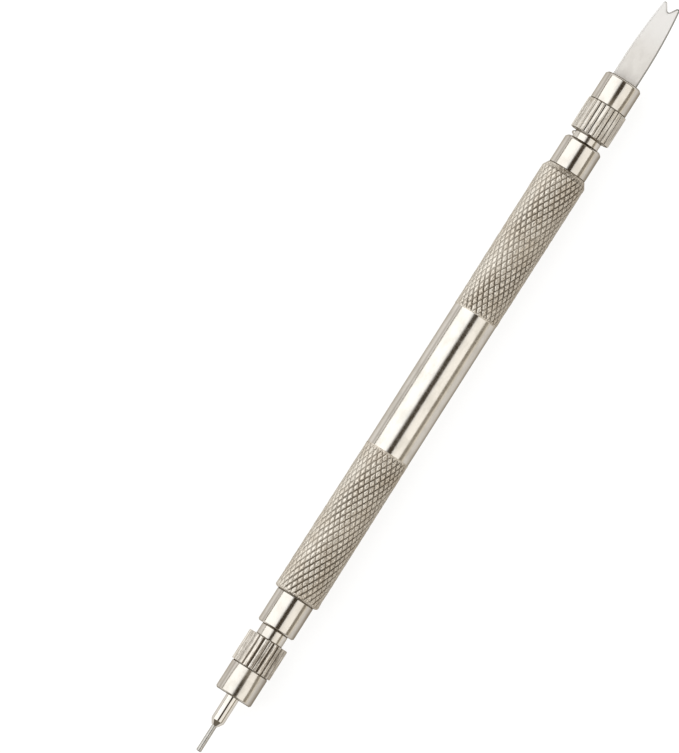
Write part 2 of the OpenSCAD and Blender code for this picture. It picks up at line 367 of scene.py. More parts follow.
class Nodes:
    """A small helper that adds nodes to a material and links them."""

    def __init__(self, name):
        self.material = bpy.data.materials.new(name)
        self.material.use_nodes = True
        self.tree = self.material.node_tree
        self.shader = self.tree.nodes["Principled BSDF"]

    def add(self, kind, **inputs):
        """Adds a node. An input is named with _ for a space, and takes a value or another node's output."""
        node = self.tree.nodes.new(kind)
        for key, value in inputs.items():
            self.set(node.inputs[key.replace("_", " ")], value)
        return node

    def set(self, socket, value):
        """Gives a socket a value, or links another node's output to it."""
        if isinstance(value, bpy.types.NodeSocket):
            self.tree.links.new(value, socket)
        else:
            socket.default_value = value

    def stretched(self, scale):
        """Object coordinates in millimetres, scaled along each axis."""
        place = self.add("ShaderNodeTexCoord").outputs["Object"]
        return self.add("ShaderNodeMapping", Vector=place, Scale=[s / MM for s in scale]).outputs["Vector"]

    def coordinate(self, axis):
        """One of the object coordinates, in metres."""
        place = self.add("ShaderNodeTexCoord").outputs["Object"]
        return self.add("ShaderNodeSeparateXYZ", Vector=place).outputs[axis]

    def noise(self, scale, detail=3.0, roughness=0.55):
        """Noise whose features are about 1/scale millimetres long along each axis."""
        place = self.stretched(scale)
        node = self.add("ShaderNodeTexNoise", Vector=place, Scale=1.0, Detail=detail, Roughness=roughness)
        return node.outputs["Fac"]

    def attribute(self, name):
        """The number that mark() stored for each point of the mesh."""
        node = self.add("ShaderNodeAttribute")
        node.attribute_name = name
        return node.outputs["Fac"]

    def remap(self, value, source, target=(0.0, 1.0), smooth=False):
        """Maps a value from the range source to the range target, and holds it beyond the ends of source."""
        node = self.add("ShaderNodeMapRange", Value=value)
        node.interpolation_type = "SMOOTHSTEP" if smooth else "LINEAR"
        for key, number in zip(("From Min", "From Max", "To Min", "To Max"), (*source, *target)):
            node.inputs[key].default_value = number
        return node.outputs["Result"]

    def remap_mm(self, coordinate, source, target, smooth=False):
        """remap() of an object coordinate whose source is given in millimetres."""
        return self.remap(coordinate, [place * MM for place in source], target, smooth)

    def math(self, operation, one, two):
        """One operation on two numbers."""
        node = self.add("ShaderNodeMath")
        node.operation = operation
        self.set(node.inputs[0], one)
        self.set(node.inputs[1], two)
        return node.outputs["Value"]

    def mix(self, factor, one, two):
        """A colour between two others, from the first at factor 0 to the second at 1."""
        node = self.add("ShaderNodeMix")
        node.data_type = "RGBA"
        self.set(node.inputs["Factor"], factor)
        self.set(node.inputs["A"], (*one, 1) if isinstance(one, tuple) else one)
        self.set(node.inputs["B"], (*two, 1) if isinstance(two, tuple) else two)
        return node.outputs["Result"]

    def bump(self, height, distance_mm, normal=None):
        """Relief from a height, on top of another relief if one is given."""
        node = self.add("ShaderNodeBump", Height=height, Distance=distance_mm * MM, Strength=1.0)
        if normal is not None:
            self.set(node.inputs["Normal"], normal)
        return node.outputs["Normal"]

    def principled(self, color, roughness, normal, metallic=1.0):
        """Fills in the material's shader, and returns the material."""
        self.shader.inputs["Metallic"].default_value = metallic
        self.shader.inputs["Specular Tint"].default_value = (*GRAZING_TINT, 1)
        self.set(self.shader.inputs["Base Color"], color)
        self.set(self.shader.inputs["Roughness"], roughness)
        self.set(self.shader.inputs["Normal"], normal)
        return self.material


# Colours of the metal, of what lies on it, and of painted shade
NICKEL = (0.665, 0.625, 0.57)
NICKEL_DULL = (0.57, 0.535, 0.48)
TURNED = (0.625, 0.585, 0.53)
TURNED_DULL = (0.55, 0.51, 0.455)
GRAZING_TINT = (0.55, 0.515, 0.465)
EDGE_STEEL = (0.25, 0.235, 0.21)
ROLLED = (0.705, 0.65, 0.57)
ROLLED_DULL = (0.625, 0.56, 0.475)
# Dark brown of real grime, also used for painted shade
GRIME_AND_SHADE = (0.095, 0.064, 0.034)

# The tumbled blade scatters most of its light evenly, so it stays apart from a pale floor from any side
TUMBLED_METALLIC = 0.3

# Painted shade on the -Y side of the turned steel, a painted reflection of the tool's shadow on the floor: how
# strong it is where faint and where deep, and the millimetres over which the faint part appears
PAINTED_SHADE_FAINT = 0.16
PAINTED_SHADE_DEEP = 0.6
PAINTED_SHADE_RISE = 0.3

# Painted dim line of reflection on the +Y side: its strength, and the millimetres over which it appears, stays
# and fades
PAINTED_DIM_LINE_STRENGTH = 0.36
PAINTED_DIM_LINE_RISE = 0.2
PAINTED_DIM_LINE_WIDTH = 0.05
PAINTED_DIM_LINE_FADE = 0.3

# Grime and painted shade of the knurled steel: how much of it fills the deepest places, how it is thinned as
# painted light from one share of the grip's radius to another towards +Y, and how much painted shade lies
# over the -Y side
DEEP_GRIME_AND_SHADE = 0.86
PAINTED_LIGHT_SHARES = (0.3, 0.88)
PAINTED_LIGHT_GRIME_KEPT = 0.4
PAINTED_SHADE_SHARES = (-0.45, -0.7)
PAINTED_SHADE_GRIME = 0.2

# Blade: how far behind its tip the polish of its prongs starts and is full, over what share of the way to its
# edge it turns to darker steel, and how much of that is left on the edge towards +Y, which is painted lighter
# as painted light
POLISH_START = 10
POLISH_FULL = 4
EDGE_RANGE = (0.05, 0.6)
PAINTED_LIT_EDGE_KEEP = 0.35


def turned_steel(name, color, dull, roughness, line_mm, painted_side_shade=(-2.3, -3.3, -3.9), painted_dim_line=3.0):
    """Lathe-turned steel: fine rings round the axis, soft stains and a roughness that drifts.

    Of its last two arguments, the first gives the values of Y, in millimetres, where painted shade starts,
    where it starts to grow deeper and where it is deepest, on the -Y side: a painted reflection of the tool's
    shadow on the floor. The second is the Y of a faint painted dim line on the other side, a painted dim band
    of reflection.
    """
    n = Nodes(name)
    rings = n.noise((9.0, 0.05, 0.05), detail=4.0)
    stain = n.noise((0.35, 0.5, 0.5))
    haze = n.noise((1.6, 1.6, 1.6), detail=5.0)
    tone = n.mix(n.remap(stain, (0.42, 0.68), (0.0, 0.8), smooth=True), color, dull)
    side = n.coordinate("Y")
    # Painted shade towards -Y, a painted reflection of the tool's shadow on the floor
    faint_painted_shade = n.remap_mm(side, (painted_side_shade[0], painted_side_shade[0] - PAINTED_SHADE_RISE), (0.0, PAINTED_SHADE_FAINT))
    deep_painted_shade = n.remap_mm(side, painted_side_shade[1:], (0.0, PAINTED_SHADE_DEEP))
    tone = n.mix(n.math("MAXIMUM", faint_painted_shade, deep_painted_shade), tone, GRIME_AND_SHADE)
    # Painted dim line towards +Y, standing in for a dim band in the reflection
    dim_line_end = painted_dim_line + PAINTED_DIM_LINE_WIDTH
    near = n.remap_mm(side, (painted_dim_line - PAINTED_DIM_LINE_RISE, painted_dim_line), (0.0, PAINTED_DIM_LINE_STRENGTH), smooth=True)
    far = n.remap_mm(side, (dim_line_end, dim_line_end + PAINTED_DIM_LINE_FADE), (1.0, 0.0), smooth=True)
    tone = n.mix(n.math("MULTIPLY", near, far), tone, GRIME_AND_SHADE)
    rough = n.remap(haze, (0.3, 0.7), (roughness * 0.85, roughness * 1.25))
    rough = n.math("ADD", rough, n.remap(rings, (0.35, 0.65), (-0.02, 0.05)))
    return n.principled(tone, rough, n.bump(rings, line_mm))


def knurled_steel(name, color, dull, roughness, deep, pit_scale, pit_mm, pit_grime):
    """Knurled steel: bright crests pitted by the rolling, with brown grime in the pits and deep places.

    deep gives the depths under the crest, in millimetres, where the dark starts and where it is full; in the
    deep places it is partly grime and partly painted shade. Towards +Y it is thinned as painted light, and
    painted shade lies over the -Y side.
    """
    n = Nodes(name)
    depth = n.remap(n.attribute("sunk"), deep, smooth=True)
    pits = n.noise(pit_scale, detail=4.0, roughness=0.62)
    stain = n.noise((0.25, 0.4, 0.4))
    pitted = n.remap(pits, (0.32, 0.55), (pit_grime, 0.0), smooth=True)
    side = n.coordinate("Y")
    # Painted light: less dark towards +Y, where the light falls
    painted_light = n.remap_mm(side, [share * GRIP_R for share in PAINTED_LIGHT_SHARES], (1.0, PAINTED_LIGHT_GRIME_KEPT))
    # Painted shade over the -Y side
    painted_side_shade = n.remap_mm(side, [share * GRIP_R for share in PAINTED_SHADE_SHARES], (0.0, PAINTED_SHADE_GRIME))
    tone = n.mix(n.remap(stain, (0.4, 0.66), smooth=True), color, dull)
    # Painted shade in the deep places, with grime there and in the pits
    dirt_and_shade = n.math("MAXIMUM", n.math("MULTIPLY", depth, DEEP_GRIME_AND_SHADE), pitted)
    tone = n.mix(n.math("MULTIPLY", dirt_and_shade, painted_light), tone, GRIME_AND_SHADE)
    tone = n.mix(painted_side_shade, tone, GRIME_AND_SHADE)
    rough = n.remap(pits, (0.3, 0.7), (roughness * 1.4, roughness * 0.8))
    rough = n.math("ADD", rough, n.math("MULTIPLY", depth, 0.2))
    return n.principled(tone, rough, n.bump(pits, pit_mm))


def ground_steel(name, color, dull, roughness):
    """Hard ground steel for the thin rods: lines along the rod and a darker tone."""
    n = Nodes(name)
    lines = n.noise((0.4, 14.0, 14.0), detail=3.0)
    haze = n.noise((2.5, 2.5, 2.5), detail=5.0)
    tone = n.mix(n.remap(haze, (0.35, 0.65)), color, dull)
    rough = n.remap(haze, (0.3, 0.7), (roughness * 0.8, roughness * 1.3))
    return n.principled(tone, rough, n.bump(lines, 0.006))


def tumbled_steel(name, color, dull, polished, roughness):
    """Tumbled spring steel: matte grain, cloudy patches, long scratches, polished prongs and dark edges.

    Its edges are darker steel; as painted light, the edge towards +Y is painted lighter than the one towards
    -Y.
    """
    n = Nodes(name)
    polish = (BLADE_END - POLISH_START, BLADE_END - POLISH_FULL)
    worn = n.remap_mm(n.coordinate("X"), polish, (0.0, 1.0), smooth=True)
    edge = n.attribute("edge")
    grain = n.noise((14.0, 14.0, 14.0), detail=2.0)
    cloud = n.noise((0.55, 0.9, 0.9), detail=4.0)
    scratches = n.noise((0.7, 11.0, 11.0), detail=2.0)
    tone = n.mix(n.remap(cloud, (0.38, 0.66), smooth=True), color, dull)
    tone = n.mix(worn, tone, polished)
    dark = n.remap(edge, EDGE_RANGE, smooth=True)
    # Painted light: the edges' darker steel is thinned towards +Y, where the light falls
    dark = n.math("MULTIPLY", dark, n.remap_mm(n.coordinate("Y"), (-1, 1), (1.0, PAINTED_LIT_EDGE_KEEP)))
    tone = n.mix(dark, tone, EDGE_STEEL)
    rough = n.remap(cloud, (0.3, 0.7), (roughness * 0.9, roughness * 1.15))
    rough = n.math("SUBTRACT", rough, n.remap(edge, EDGE_RANGE, (0.0, roughness * 0.75)))
    fine = n.bump(grain, 0.004)
    return n.principled(tone, rough, n.bump(scratches, 0.003, fine), TUMBLED_METALLIC)


FINISHES = {
    "knurl": knurled_steel(
        "knurled_nickel", ROLLED, ROLLED_DULL, roughness=0.22,
        deep=(0.057, 0.17), pit_scale=(6.0, 6.0, 6.0), pit_mm=0.078, pit_grime=0.68),
    "ribs": knurled_steel(
        "ribbed_nickel", (0.75, 0.71, 0.65), ROLLED, roughness=0.5,
        deep=(0.19, 0.33), pit_scale=(0.35, 6.0, 6.0), pit_mm=0.02, pit_grime=0.4),
    "worn_ribs": knurled_steel(
        "worn_nickel", (0.61, 0.56, 0.495), (0.68, 0.635, 0.575), roughness=0.28,
        deep=(0.1, 0.24), pit_scale=(0.5, 6.0, 6.0), pit_mm=0.035, pit_grime=0.75),
    # Painted shade: dark steel in corners, steps, relief grooves, nose rims and behind the nuts
    "seam": turned_steel("painted_shade_seams", (0.22, 0.195, 0.16), GRIME_AND_SHADE, 0.4, 0.01),
    "bar": turned_steel("polished_nickel", NICKEL, NICKEL_DULL, 0.15, 0.002),
    "ground": turned_steel("ground_holder", NICKEL, NICKEL_DULL, 0.05, 0.0006),
    "turned": turned_steel(
        "turned_nickel", TURNED, TURNED_DULL, 0.12, 0.005, painted_side_shade=(-1.95, -2.5, -3.2), painted_dim_line=2.58),
    "satin": turned_steel(
        "satin_nickel", TURNED, TURNED_DULL, 0.15, 0.007, painted_side_shade=(-1.95, -2.3, -3.1), painted_dim_line=2.67),
    "inner": turned_steel("bored_steel", NICKEL_DULL, GRIME_AND_SHADE, 0.35, 0.012),
    "rod": ground_steel("ground_steel", (0.47, 0.45, 0.415), (0.38, 0.36, 0.33), 0.22),
    "blade": tumbled_steel(
        "tumbled_steel", (0.875, 0.845, 0.81), (0.815, 0.785, 0.75), (0.945, 0.925, 0.91), 0.55),
}


# ---------------------------------------------------------------- handle

def diamond_depth(x, start, strengths, angles):
    """How deep the diamond knurl is cut at x, round the grip.

    strengths gives how firmly the grooves of each hand are rolled there. Each diamond also stands a little
    higher or lower than the next and leans a little, as rolled ones do.
    """
    along = (x - start) / KNURL_PITCH
    around = KNURL_COUNT * angles / TAU
    hands = (around + along, around - along)
    wander = 1 + KNURL_WANDER * np.sin(angles * 2 + along * 0.7)
    offs = [np.abs(hand - np.round(hand)) for hand in hands]
    grooves = [np.clip(1 - off / KNURL_GROOVE, 0, 1) ** KNURL_FLANK for off in offs]
    cut_depth = np.maximum(*[strength * wander * groove for strength, groove in zip(strengths, grooves)])
    cell = [np.floor(hand) for hand in hands]
    column = cell[0] - cell[1]
    row = np.mod(cell[0] + cell[1], 2 * KNURL_COUNT)
    dish = np.clip(np.minimum(*offs) / 0.5, 0, 1) ** 2
    from_middle = [hand - c - 0.5 for hand, c in zip(hands, cell)]
    lean = sum((scatter(row + k, column) - 0.5) * place for k, place in enumerate(from_middle))
    burr = scatter(row, column + 7) + dish * (0.4 + scatter(row, column + 3))
    uneven = DIAMOND_BURR * burr + DIAMOND_LEAN * lean
    return KNURL_DEPTH * cut_depth + (uneven + DIAMOND_DROP) * (1 - np.clip(cut_depth, 0, 1))


def grip_rows(outer, inner, segments, limit, strength):
    """Rows of one grip from its lower to its higher x.

    outer and inner are its two ends, limit(d) is the chamfer's radius at a distance d from the outer end, and
    strength(u) gives how firmly each hand of groove is rolled at a share u of the way from the outer end.
    """
    low, high = min(outer, inner), max(outer, inner)
    lattice = KNURL_PITCH / KNURL_STEPS
    places = list(np.arange(low, high, lattice)) + [high]
    places += [outer + (inner - outer) / GRIP_L * d for d in np.linspace(0, FORK_GRIP_CHAMFER, 12)]
    places += [inner - (inner - outer) / GRIP_L * d for d in (0.04, 0.08, 0.13, 0.24, 0.3)]
    rows = []
    angles = angles_of(segments)
    for x in sorted(set(round(float(place), 4) for place in places)):
        from_outer, from_inner = abs(x - outer), abs(x - inner)
        crest = min(GRIP_R - GRIP_TAPER * from_outer / GRIP_L, limit(from_outer))
        kept = KNURL_KEPT + (1 - KNURL_KEPT) * smoothstep(from_outer / FORK_GRIP_CHAMFER)
        radii = crest - kept * diamond_depth(x, low, strength(from_outer / GRIP_L), angles)
        radii = np.maximum(radii, GROOVE_FLOOR_R)
        raised = smoothstep(from_inner / CREST_RUN_L)
        cut_in = smoothstep(from_inner / GROOVE_RUN_L)
        radii = CENTRE_R + (radii - CENTRE_R) * np.where(radii > CENTRE_R, raised, cut_in)
        rows.append((x, radii, "knurl"))
    return rows


def round_limit(chamfer):
    """Radius allowed near a grip's rounded outer end."""
    def limit(distance):
        inside = max(chamfer - distance, 0)
        return GRIP_R - chamfer + math.sqrt(chamfer ** 2 - inside ** 2)
    return limit


def cone_limit(foot_r, chamfer):
    """Radius allowed near a grip's conical outer end."""
    def limit(distance):
        return min(GRIP_R, foot_r + (GRIP_R - foot_r) * distance / chamfer)
    return limit


def make_handle():
    """The turned bar: a smooth middle, with a grip, a collar and a blind socket towards each end."""
    segments = KNURL_COUNT * KNURL_STEPS
    pin_grip = HANDLE_START + PIN_COLLAR_L
    pin_grip_end = pin_grip + GRIP_L
    fork_grip_end = HANDLE_END - FORK_COLLAR_L
    fork_grip = fork_grip_end - GRIP_L
    rows = band([
        (HANDLE_START + SOCKET_L, 0),
        (HANDLE_START + SOCKET_L, STEM_R),
        (HANDLE_START, STEM_R),
    ], "inner")
    rows += band([
        (HANDLE_START, STEM_R + HAIR),
        (HANDLE_START, COLLAR_R - PIN_COLLAR_CHAMFER, 0.06),
        (HANDLE_START + PIN_COLLAR_CHAMFER, COLLAR_R, 0.08),
        (pin_grip - SEAM_L, COLLAR_R),
    ], "turned")
    # Painted shade in the relief groove between the collar and the grip
    rows += band([
        (pin_grip - SEAM_L + 0.04, COLLAR_R - SEAM_DEPTH),
        (pin_grip, COLLAR_R - SEAM_DEPTH),
        (pin_grip, GRIP_R - PIN_GRIP_CHAMFER - HAIR),
    ], "seam")
    rows += grip_rows(pin_grip, pin_grip_end, segments, round_limit(PIN_GRIP_CHAMFER),
                      lambda u: (1.2 - 0.2 * u, 0.7 + 0.3 * u))
    rows += band([
        (pin_grip_end + HAIR, CENTRE_R),
        (pin_grip_end + 1.0, CENTRE_R),
        (fork_grip - 1.0, CENTRE_R),
        (fork_grip - HAIR, CENTRE_R),
    ], "bar")
    rows += grip_rows(fork_grip_end, fork_grip, segments, cone_limit(FORK_GRIP_FOOT_R, FORK_GRIP_CHAMFER),
                      lambda u: (1.1 - 0.25 * u, 0.85 + 0.25 * u))
    # Painted shade in the relief groove between the grip and the collar
    rows += band([
        (fork_grip_end, GROOVE_FLOOR_R),
        (fork_grip_end, COLLAR_R - SEAM_DEPTH),
        (fork_grip_end + SEAM_L - 0.04, COLLAR_R - SEAM_DEPTH),
    ], "seam")
    rows += band([
        (fork_grip_end + SEAM_L, COLLAR_R),
        (HANDLE_END - FORK_COLLAR_CHAMFER, COLLAR_R, 0.12),
        (HANDLE_END, COLLAR_R - FORK_COLLAR_CHAMFER, 0.08),
        (HANDLE_END, STEM_R + HAIR),
    ], "turned")
    rows += band([
        (HANDLE_END, STEM_R),
        (HANDLE_END - SOCKET_L, STEM_R),
        (HANDLE_END - SOCKET_L, 0),
    ], "inner")
    piece = turned("knurled_handle", rows, segments, ["knurl", "bar", "turned", "inner", "seam"])
    shade(piece, sharp_deg=50)
    stand_for(piece, "handle")


# ---------------------------------------------------------------- nuts

def ring_rows(back, front, segments, finish, lean, turn_deg, seed):
    """Rows of a straight-knurled ring from its back face (chamfered) to the step at its nose, in that order.

    Its grooves differ in depth, width and place, as worn ones do. At the top its ribs slope down towards +Y.
    """
    angles = angles_of(segments)
    phase = RING_GROOVES * (angles - math.radians(turn_deg)) / TAU
    groove = np.mod(np.round(phase), RING_GROOVES)
    rib = np.mod(np.floor(phase), RING_GROOVES)
    rows = []
    sense = math.copysign(1, front - back)
    length = abs(front - back)
    middle = np.linspace(0.6, length - 0.2, 9)
    steps = np.concatenate([np.linspace(0, RING_EDGE, 4), middle, [length - RING_STEP_EDGE, length]])
    for d in steps:
        drift = GROOVE_DRIFT * np.sin(d * 0.9 + groove * 2.1 + seed)
        shift = GROOVE_SHIFT * (scatter(groove, seed) - 0.5) + 0.1 * drift
        half = GROOVE_HALVES[0] + GROOVE_HALVES[1] * scatter(groove, seed + 5)
        depth = RING_DEPTH * (GROOVE_DEPTHS[0] + GROOVE_DEPTHS[1] * scatter(groove, seed + 9) + drift)
        off = np.abs(phase - np.round(phase) - shift) / half
        across = phase - np.floor(phase)
        slope = lean * (RIB_LEANS[0] + RIB_LEANS[1] * scatter(rib, seed + 2))
        crown = RING_CROWN * (2 * across - 1) ** 2 + slope * across
        radii = RING_R - crown - depth * smoothstep(GROOVE_FLANK * (1 - off))
        limit = RING_R - max(RING_EDGE - d, 0) - max(RING_STEP_EDGE - (length - d), 0) * 0.8
        rows.append((back + sense * d, np.minimum(radii, limit), finish))
    return rows


def make_nut(name, node, front, back, nose_l, nose_edge, mouth_r, seat_start_r, looks, lean, turn_deg, seed):
    """A clamp nut: smooth nose in front, knurled ring behind, and a conical seat inside.

    looks names the finishes of its ring and of its nose. lean is how far each rib of the ring slopes down
    towards +Y at the top. turn_deg is how far the ring's first groove lies from the top, towards +Y, and seed
    picks how uneven its grooves are.
    """
    segments = RING_GROOVES * RING_STEPS
    sense = math.copysign(1, front - back)
    step = front - sense * nose_l
    seat = front - sense * MOUTH_L
    bore = seat - sense * SEAT_L
    ring, nose = looks
    rows = ring_rows(back, step, segments, ring, lean, turn_deg, seed)
    # Painted shade at the step from ring to nose and in the relief groove there
    rows[-1] = (*rows[-1][:2], "seam")
    rows += band([
        (step, NOSE_R - RELIEF_DEPTH),
        (step + sense * RELIEF_L, NOSE_R - RELIEF_DEPTH + HAIR),
    ], "seam")
    outline = filleted([
        (step + sense * (RELIEF_L + HAIR), NOSE_R - 0.03),
        (step + sense * (RELIEF_L + 0.05), NOSE_R),
        (front - sense * nose_edge, NOSE_R, EDGE_FILLET * nose_edge),
        (front - sense * RIM_SHARE * nose_edge, NOSE_R - (1 - RIM_SHARE) * nose_edge),
        (front, NOSE_R - nose_edge, EDGE_FILLET * nose_edge),
        (front, mouth_r + 0.1, 0.08),
        (front - sense * 0.1, mouth_r),
    ])
    # Painted shade on a rim of the nose's front edge
    rim = (NOSE_R - (1 + EDGE_FILLET) * nose_edge + SMALL, NOSE_R - (1 - RIM_SHARE) * nose_edge + SMALL)
    rows += [(x, r, "seam" if rim[0] < r < rim[1] else nose) for x, r in outline]
    rows += band([
        (seat, mouth_r),
        (seat, seat_start_r),
        (bore, BORE_R - SEAT_STEP),
        (bore, BORE_R),
        (back + sense * 0.2, BORE_R),
        (back + sense * 0.02, BORE_R + 0.2),
    ], "inner")
    # Painted shade on the ring's back face
    rows.append((back, BORE_R + 0.22, "seam"))
    piece = turned(name, rows, segments, [ring, nose, "inner", "seam"], ring=True)
    shade(piece, sharp_deg=40)
    stand_for(piece, node)


# ---------------------------------------------------------------- chucks

def thread_rows(low, high, segments, fade_in, fade_out):
    """Rows of a right-hand thread.

    Its crests grow over a length fade_in from the low end, and fade over fade_out to the high end.
    """
    turns = angles_of(segments) / TAU
    rows = []
    for x in np.arange(low, high, THREAD_PITCH / THREAD_STEPS):
        phase = x / THREAD_PITCH + turns
        crest = np.clip(THREAD_CREST - THREAD_FLANK * np.abs(phase - np.round(phase)), 0, 1)
        grown = smoothstep((x - low) / fade_in) * smoothstep((high - x) / fade_out)
        rows.append((x, THREAD_R - THREAD_DEPTH + (THREAD_DEPTH - THREAD_GAP) * crest * grown, "turned"))
    return rows


def make_fork_chuck():
    """Slotted two-jaw chuck for the blade, with its thread running out on the neck."""
    jaw_end = FORK_CHUCK_END
    thread_end = FORK_NUT_FRONT - MOUTH_L - SEAT_L - JAW_THREAD_GAP
    shoulder = BLADE_START + TANG_L
    rows = band([
        (FORK_CHUCK_START, 0),
        (FORK_CHUCK_START, STEM_R - STEM_GAP),
        (HANDLE_END, STEM_R - STEM_GAP),
    ], "inner")
    # Painted shade where the neck leaves the handle
    rows += band([
        (HANDLE_END, STEM_R),
        (HANDLE_END, NECK_R - NECK_SEAM_DEPTH),
        (HANDLE_END + 0.05, NECK_R - NECK_SEAM_DEPTH),
    ], "seam")
    beside = np.angle(np.exp(1j * (angles_of(CHUCK_SEGMENTS) - math.pi / 2)))
    for x in np.linspace(HANDLE_END + 0.08, FORK_NUT_BACK - 0.1, 18):
        along = (x - FORK_NUT_BACK + BURR_BEHIND) / BURR_HALF_L
        # Painted shadow of the nut's back edge on the last 0.4 mm of the neck
        finish = "seam" if x > FORK_NUT_BACK - 0.4 else "satin"
        burr = BURR_H * np.exp(-along ** 4) * np.exp(-(beside / BURR_HALF_TURN) ** 4)
        rows.append((x, NECK_R + burr, finish))
    rows += thread_rows(FORK_NUT_BACK, thread_end, CHUCK_SEGMENTS, 0.6, 0.5)
    rows += band([
        (thread_end, BORE_R - JAW_GAP),
        (jaw_end - 0.1, FORK_MOUTH_R + 0.01),
        (jaw_end, FORK_MOUTH_R - 0.09),
        (jaw_end, 0),
    ], "inner")
    piece = turned("blade_chuck", rows, CHUCK_SEGMENTS, ["turned", "inner", "seam", "satin"])
    half_slot = BLADE_HALF_T + SLOT_GAP
    slot = prism("slot", [(-GRIP_R, AXIS_Z - half_slot), (GRIP_R, AXIS_Z - half_slot),
                          (GRIP_R, AXIS_Z + half_slot), (-GRIP_R, AXIS_Z + half_slot)],
                 shoulder - SLOT_LEAD, FORK_NUT_FRONT + 1, 0)
    hole_r = math.hypot(TANG_HALF_W, BLADE_HALF_T) + SLOT_GAP
    hole = prism("hole", [(hole_r * math.cos(a), AXIS_Z + hole_r * math.sin(a)) for a in angles_of(48)],
                 BLADE_START - TANG_GAP, shoulder, 0)
    cut(piece, [slot, hole])
    shade(piece, sharp_deg=34)
    stand_for(piece, "fork_chuck")


def make_pin_chuck():
    """Four-jaw drilled collet for the reversible tip."""
    jaw_end = PIN_CHUCK_START
    thread_start = PIN_NUT_FRONT + MOUTH_L + SEAT_L + JAW_THREAD_GAP
    thread_end = PIN_NUT_BACK - 0.1
    bore_r = HOLDER_R + HOLDER_GAP
    bore_end = FINE_END + BLIND_GAP
    rows = band([(bore_end, 0), (bore_end, bore_r), (jaw_end, bore_r)], "inner")
    rows += band([
        (jaw_end, PIN_MOUTH_R + 0.3),
        (jaw_end + 0.05, PIN_MOUTH_R + 0.35),
        (thread_start, BORE_R - JAW_GAP),
    ], "inner")
    rows += thread_rows(thread_start + 0.05, thread_end, CHUCK_SEGMENTS, 0.5, 0.6)
    # Painted shade where the thread ends behind the nut
    rows += band([(thread_end + 0.1, NECK_R)], "seam")
    rows += band([(PIN_NUT_BACK + 0.14, NECK_R), (HANDLE_START - 0.14, NECK_R)], "satin")
    # Painted shade where the neck enters the handle
    rows += band([
        (HANDLE_START - 0.1, NECK_R - NECK_SEAM_DEPTH),
        (HANDLE_START, NECK_R - NECK_SEAM_DEPTH),
        (HANDLE_START, STEM_R),
    ], "seam")
    rows += band([
        (HANDLE_START, STEM_R - STEM_GAP),
        (PIN_CHUCK_END, STEM_R - STEM_GAP),
        (PIN_CHUCK_END, 0),
    ], "inner")
    piece = turned("tip_chuck", rows, CHUCK_SEGMENTS, ["turned", "inner", "seam", "satin"])
    half = COLLET_SLOT / 2
    signs = ((-1, -1), (1, -1), (1, 1), (-1, 1))
    slots = []
    for k, turn in enumerate((math.pi / 4, -math.pi / 4)):
        along = np.array([math.cos(turn), math.sin(turn)])
        across = np.array([-math.sin(turn), math.cos(turn)]) * half
        corners = [s * GRIP_R * along + t * across + (0, AXIS_Z) for s, t in signs]
        slots.append(prism(f"slot_{k}", corners, jaw_end - 1, PIN_NUT_BACK - 0.8, 0))
    cut(piece, slots)
    shade(piece, sharp_deg=34)
    stand_for(piece, "pin_chuck")


# ---------------------------------------------------------------- blade

def blade_edges(x, side_r, tip, bottom, slope):
    """Inner and outer edge of half of the blade at x: 0 to its side, or from the notch to the side.

    side_r is the radius of the curved side, tip the centre (x, y) of the prong's round tip, bottom the x of
    the centre of the notch's round bottom, and slope the angle of the notch's straight side.
    """
    shoulder = BLADE_START + TANG_L
    if x < shoulder:
        inside = max(TANG_CORNER - (x - BLADE_START), 0)
        return 0.0, TANG_HALF_W - TANG_CORNER + math.sqrt(max(TANG_CORNER ** 2 - inside ** 2, 0))
    past = max(x - (BLADE_END - TAPER_L), 0)
    corner = x - tip[0]
    if past / side_r < (corner / PRONG_R):
        outer = tip[1] + math.sqrt(max(PRONG_R ** 2 - corner ** 2, 0))
    else:
        outer = BLADE_HALF_W - side_r + math.sqrt(side_r ** 2 - past ** 2)
    rise = max(SHOULDER_R - (x - shoulder), 0)
    outer += math.sqrt(SHOULDER_R ** 2 - rise ** 2) - SHOULDER_R
    line_start = bottom - NOTCH_R * math.sin(slope)
    line_end = tip[0] + PRONG_R * math.sin(slope)
    if x <= line_start:
        inner = math.sqrt(max(NOTCH_R ** 2 - (bottom - x) ** 2, 0))
    elif x <= line_end:
        inner = NOTCH_R * math.cos(slope) + (x - line_start) * math.tan(slope)
    else:
        inner = tip[1] - math.sqrt(max(PRONG_R ** 2 - corner ** 2, 0))
    return min(inner, outer - 0.0001), outer


def blade_stations(notch):
    """Places along the blade, close together where its outline turns."""
    shoulder = BLADE_START + TANG_L
    ease = 1 - np.cos(np.linspace(0, math.pi / 2, 9))
    stretches = [
        BLADE_START + TANG_CORNER * ease,
        np.linspace(BLADE_START + TANG_CORNER, shoulder - 0.001, 4),
        shoulder + SHOULDER_R * ease,
        np.linspace(shoulder + SHOULDER_R, BLADE_END - TAPER_L, 14),
        np.linspace(BLADE_END - TAPER_L, notch, 34),
        notch + NOTCH_R * ease,
        np.linspace(notch + NOTCH_R, BLADE_END - PRONG_R, 8),
        BLADE_END - PRONG_R * ease[::-1],
    ]
    return sorted(set(np.round(np.concatenate(stretches), 5)))


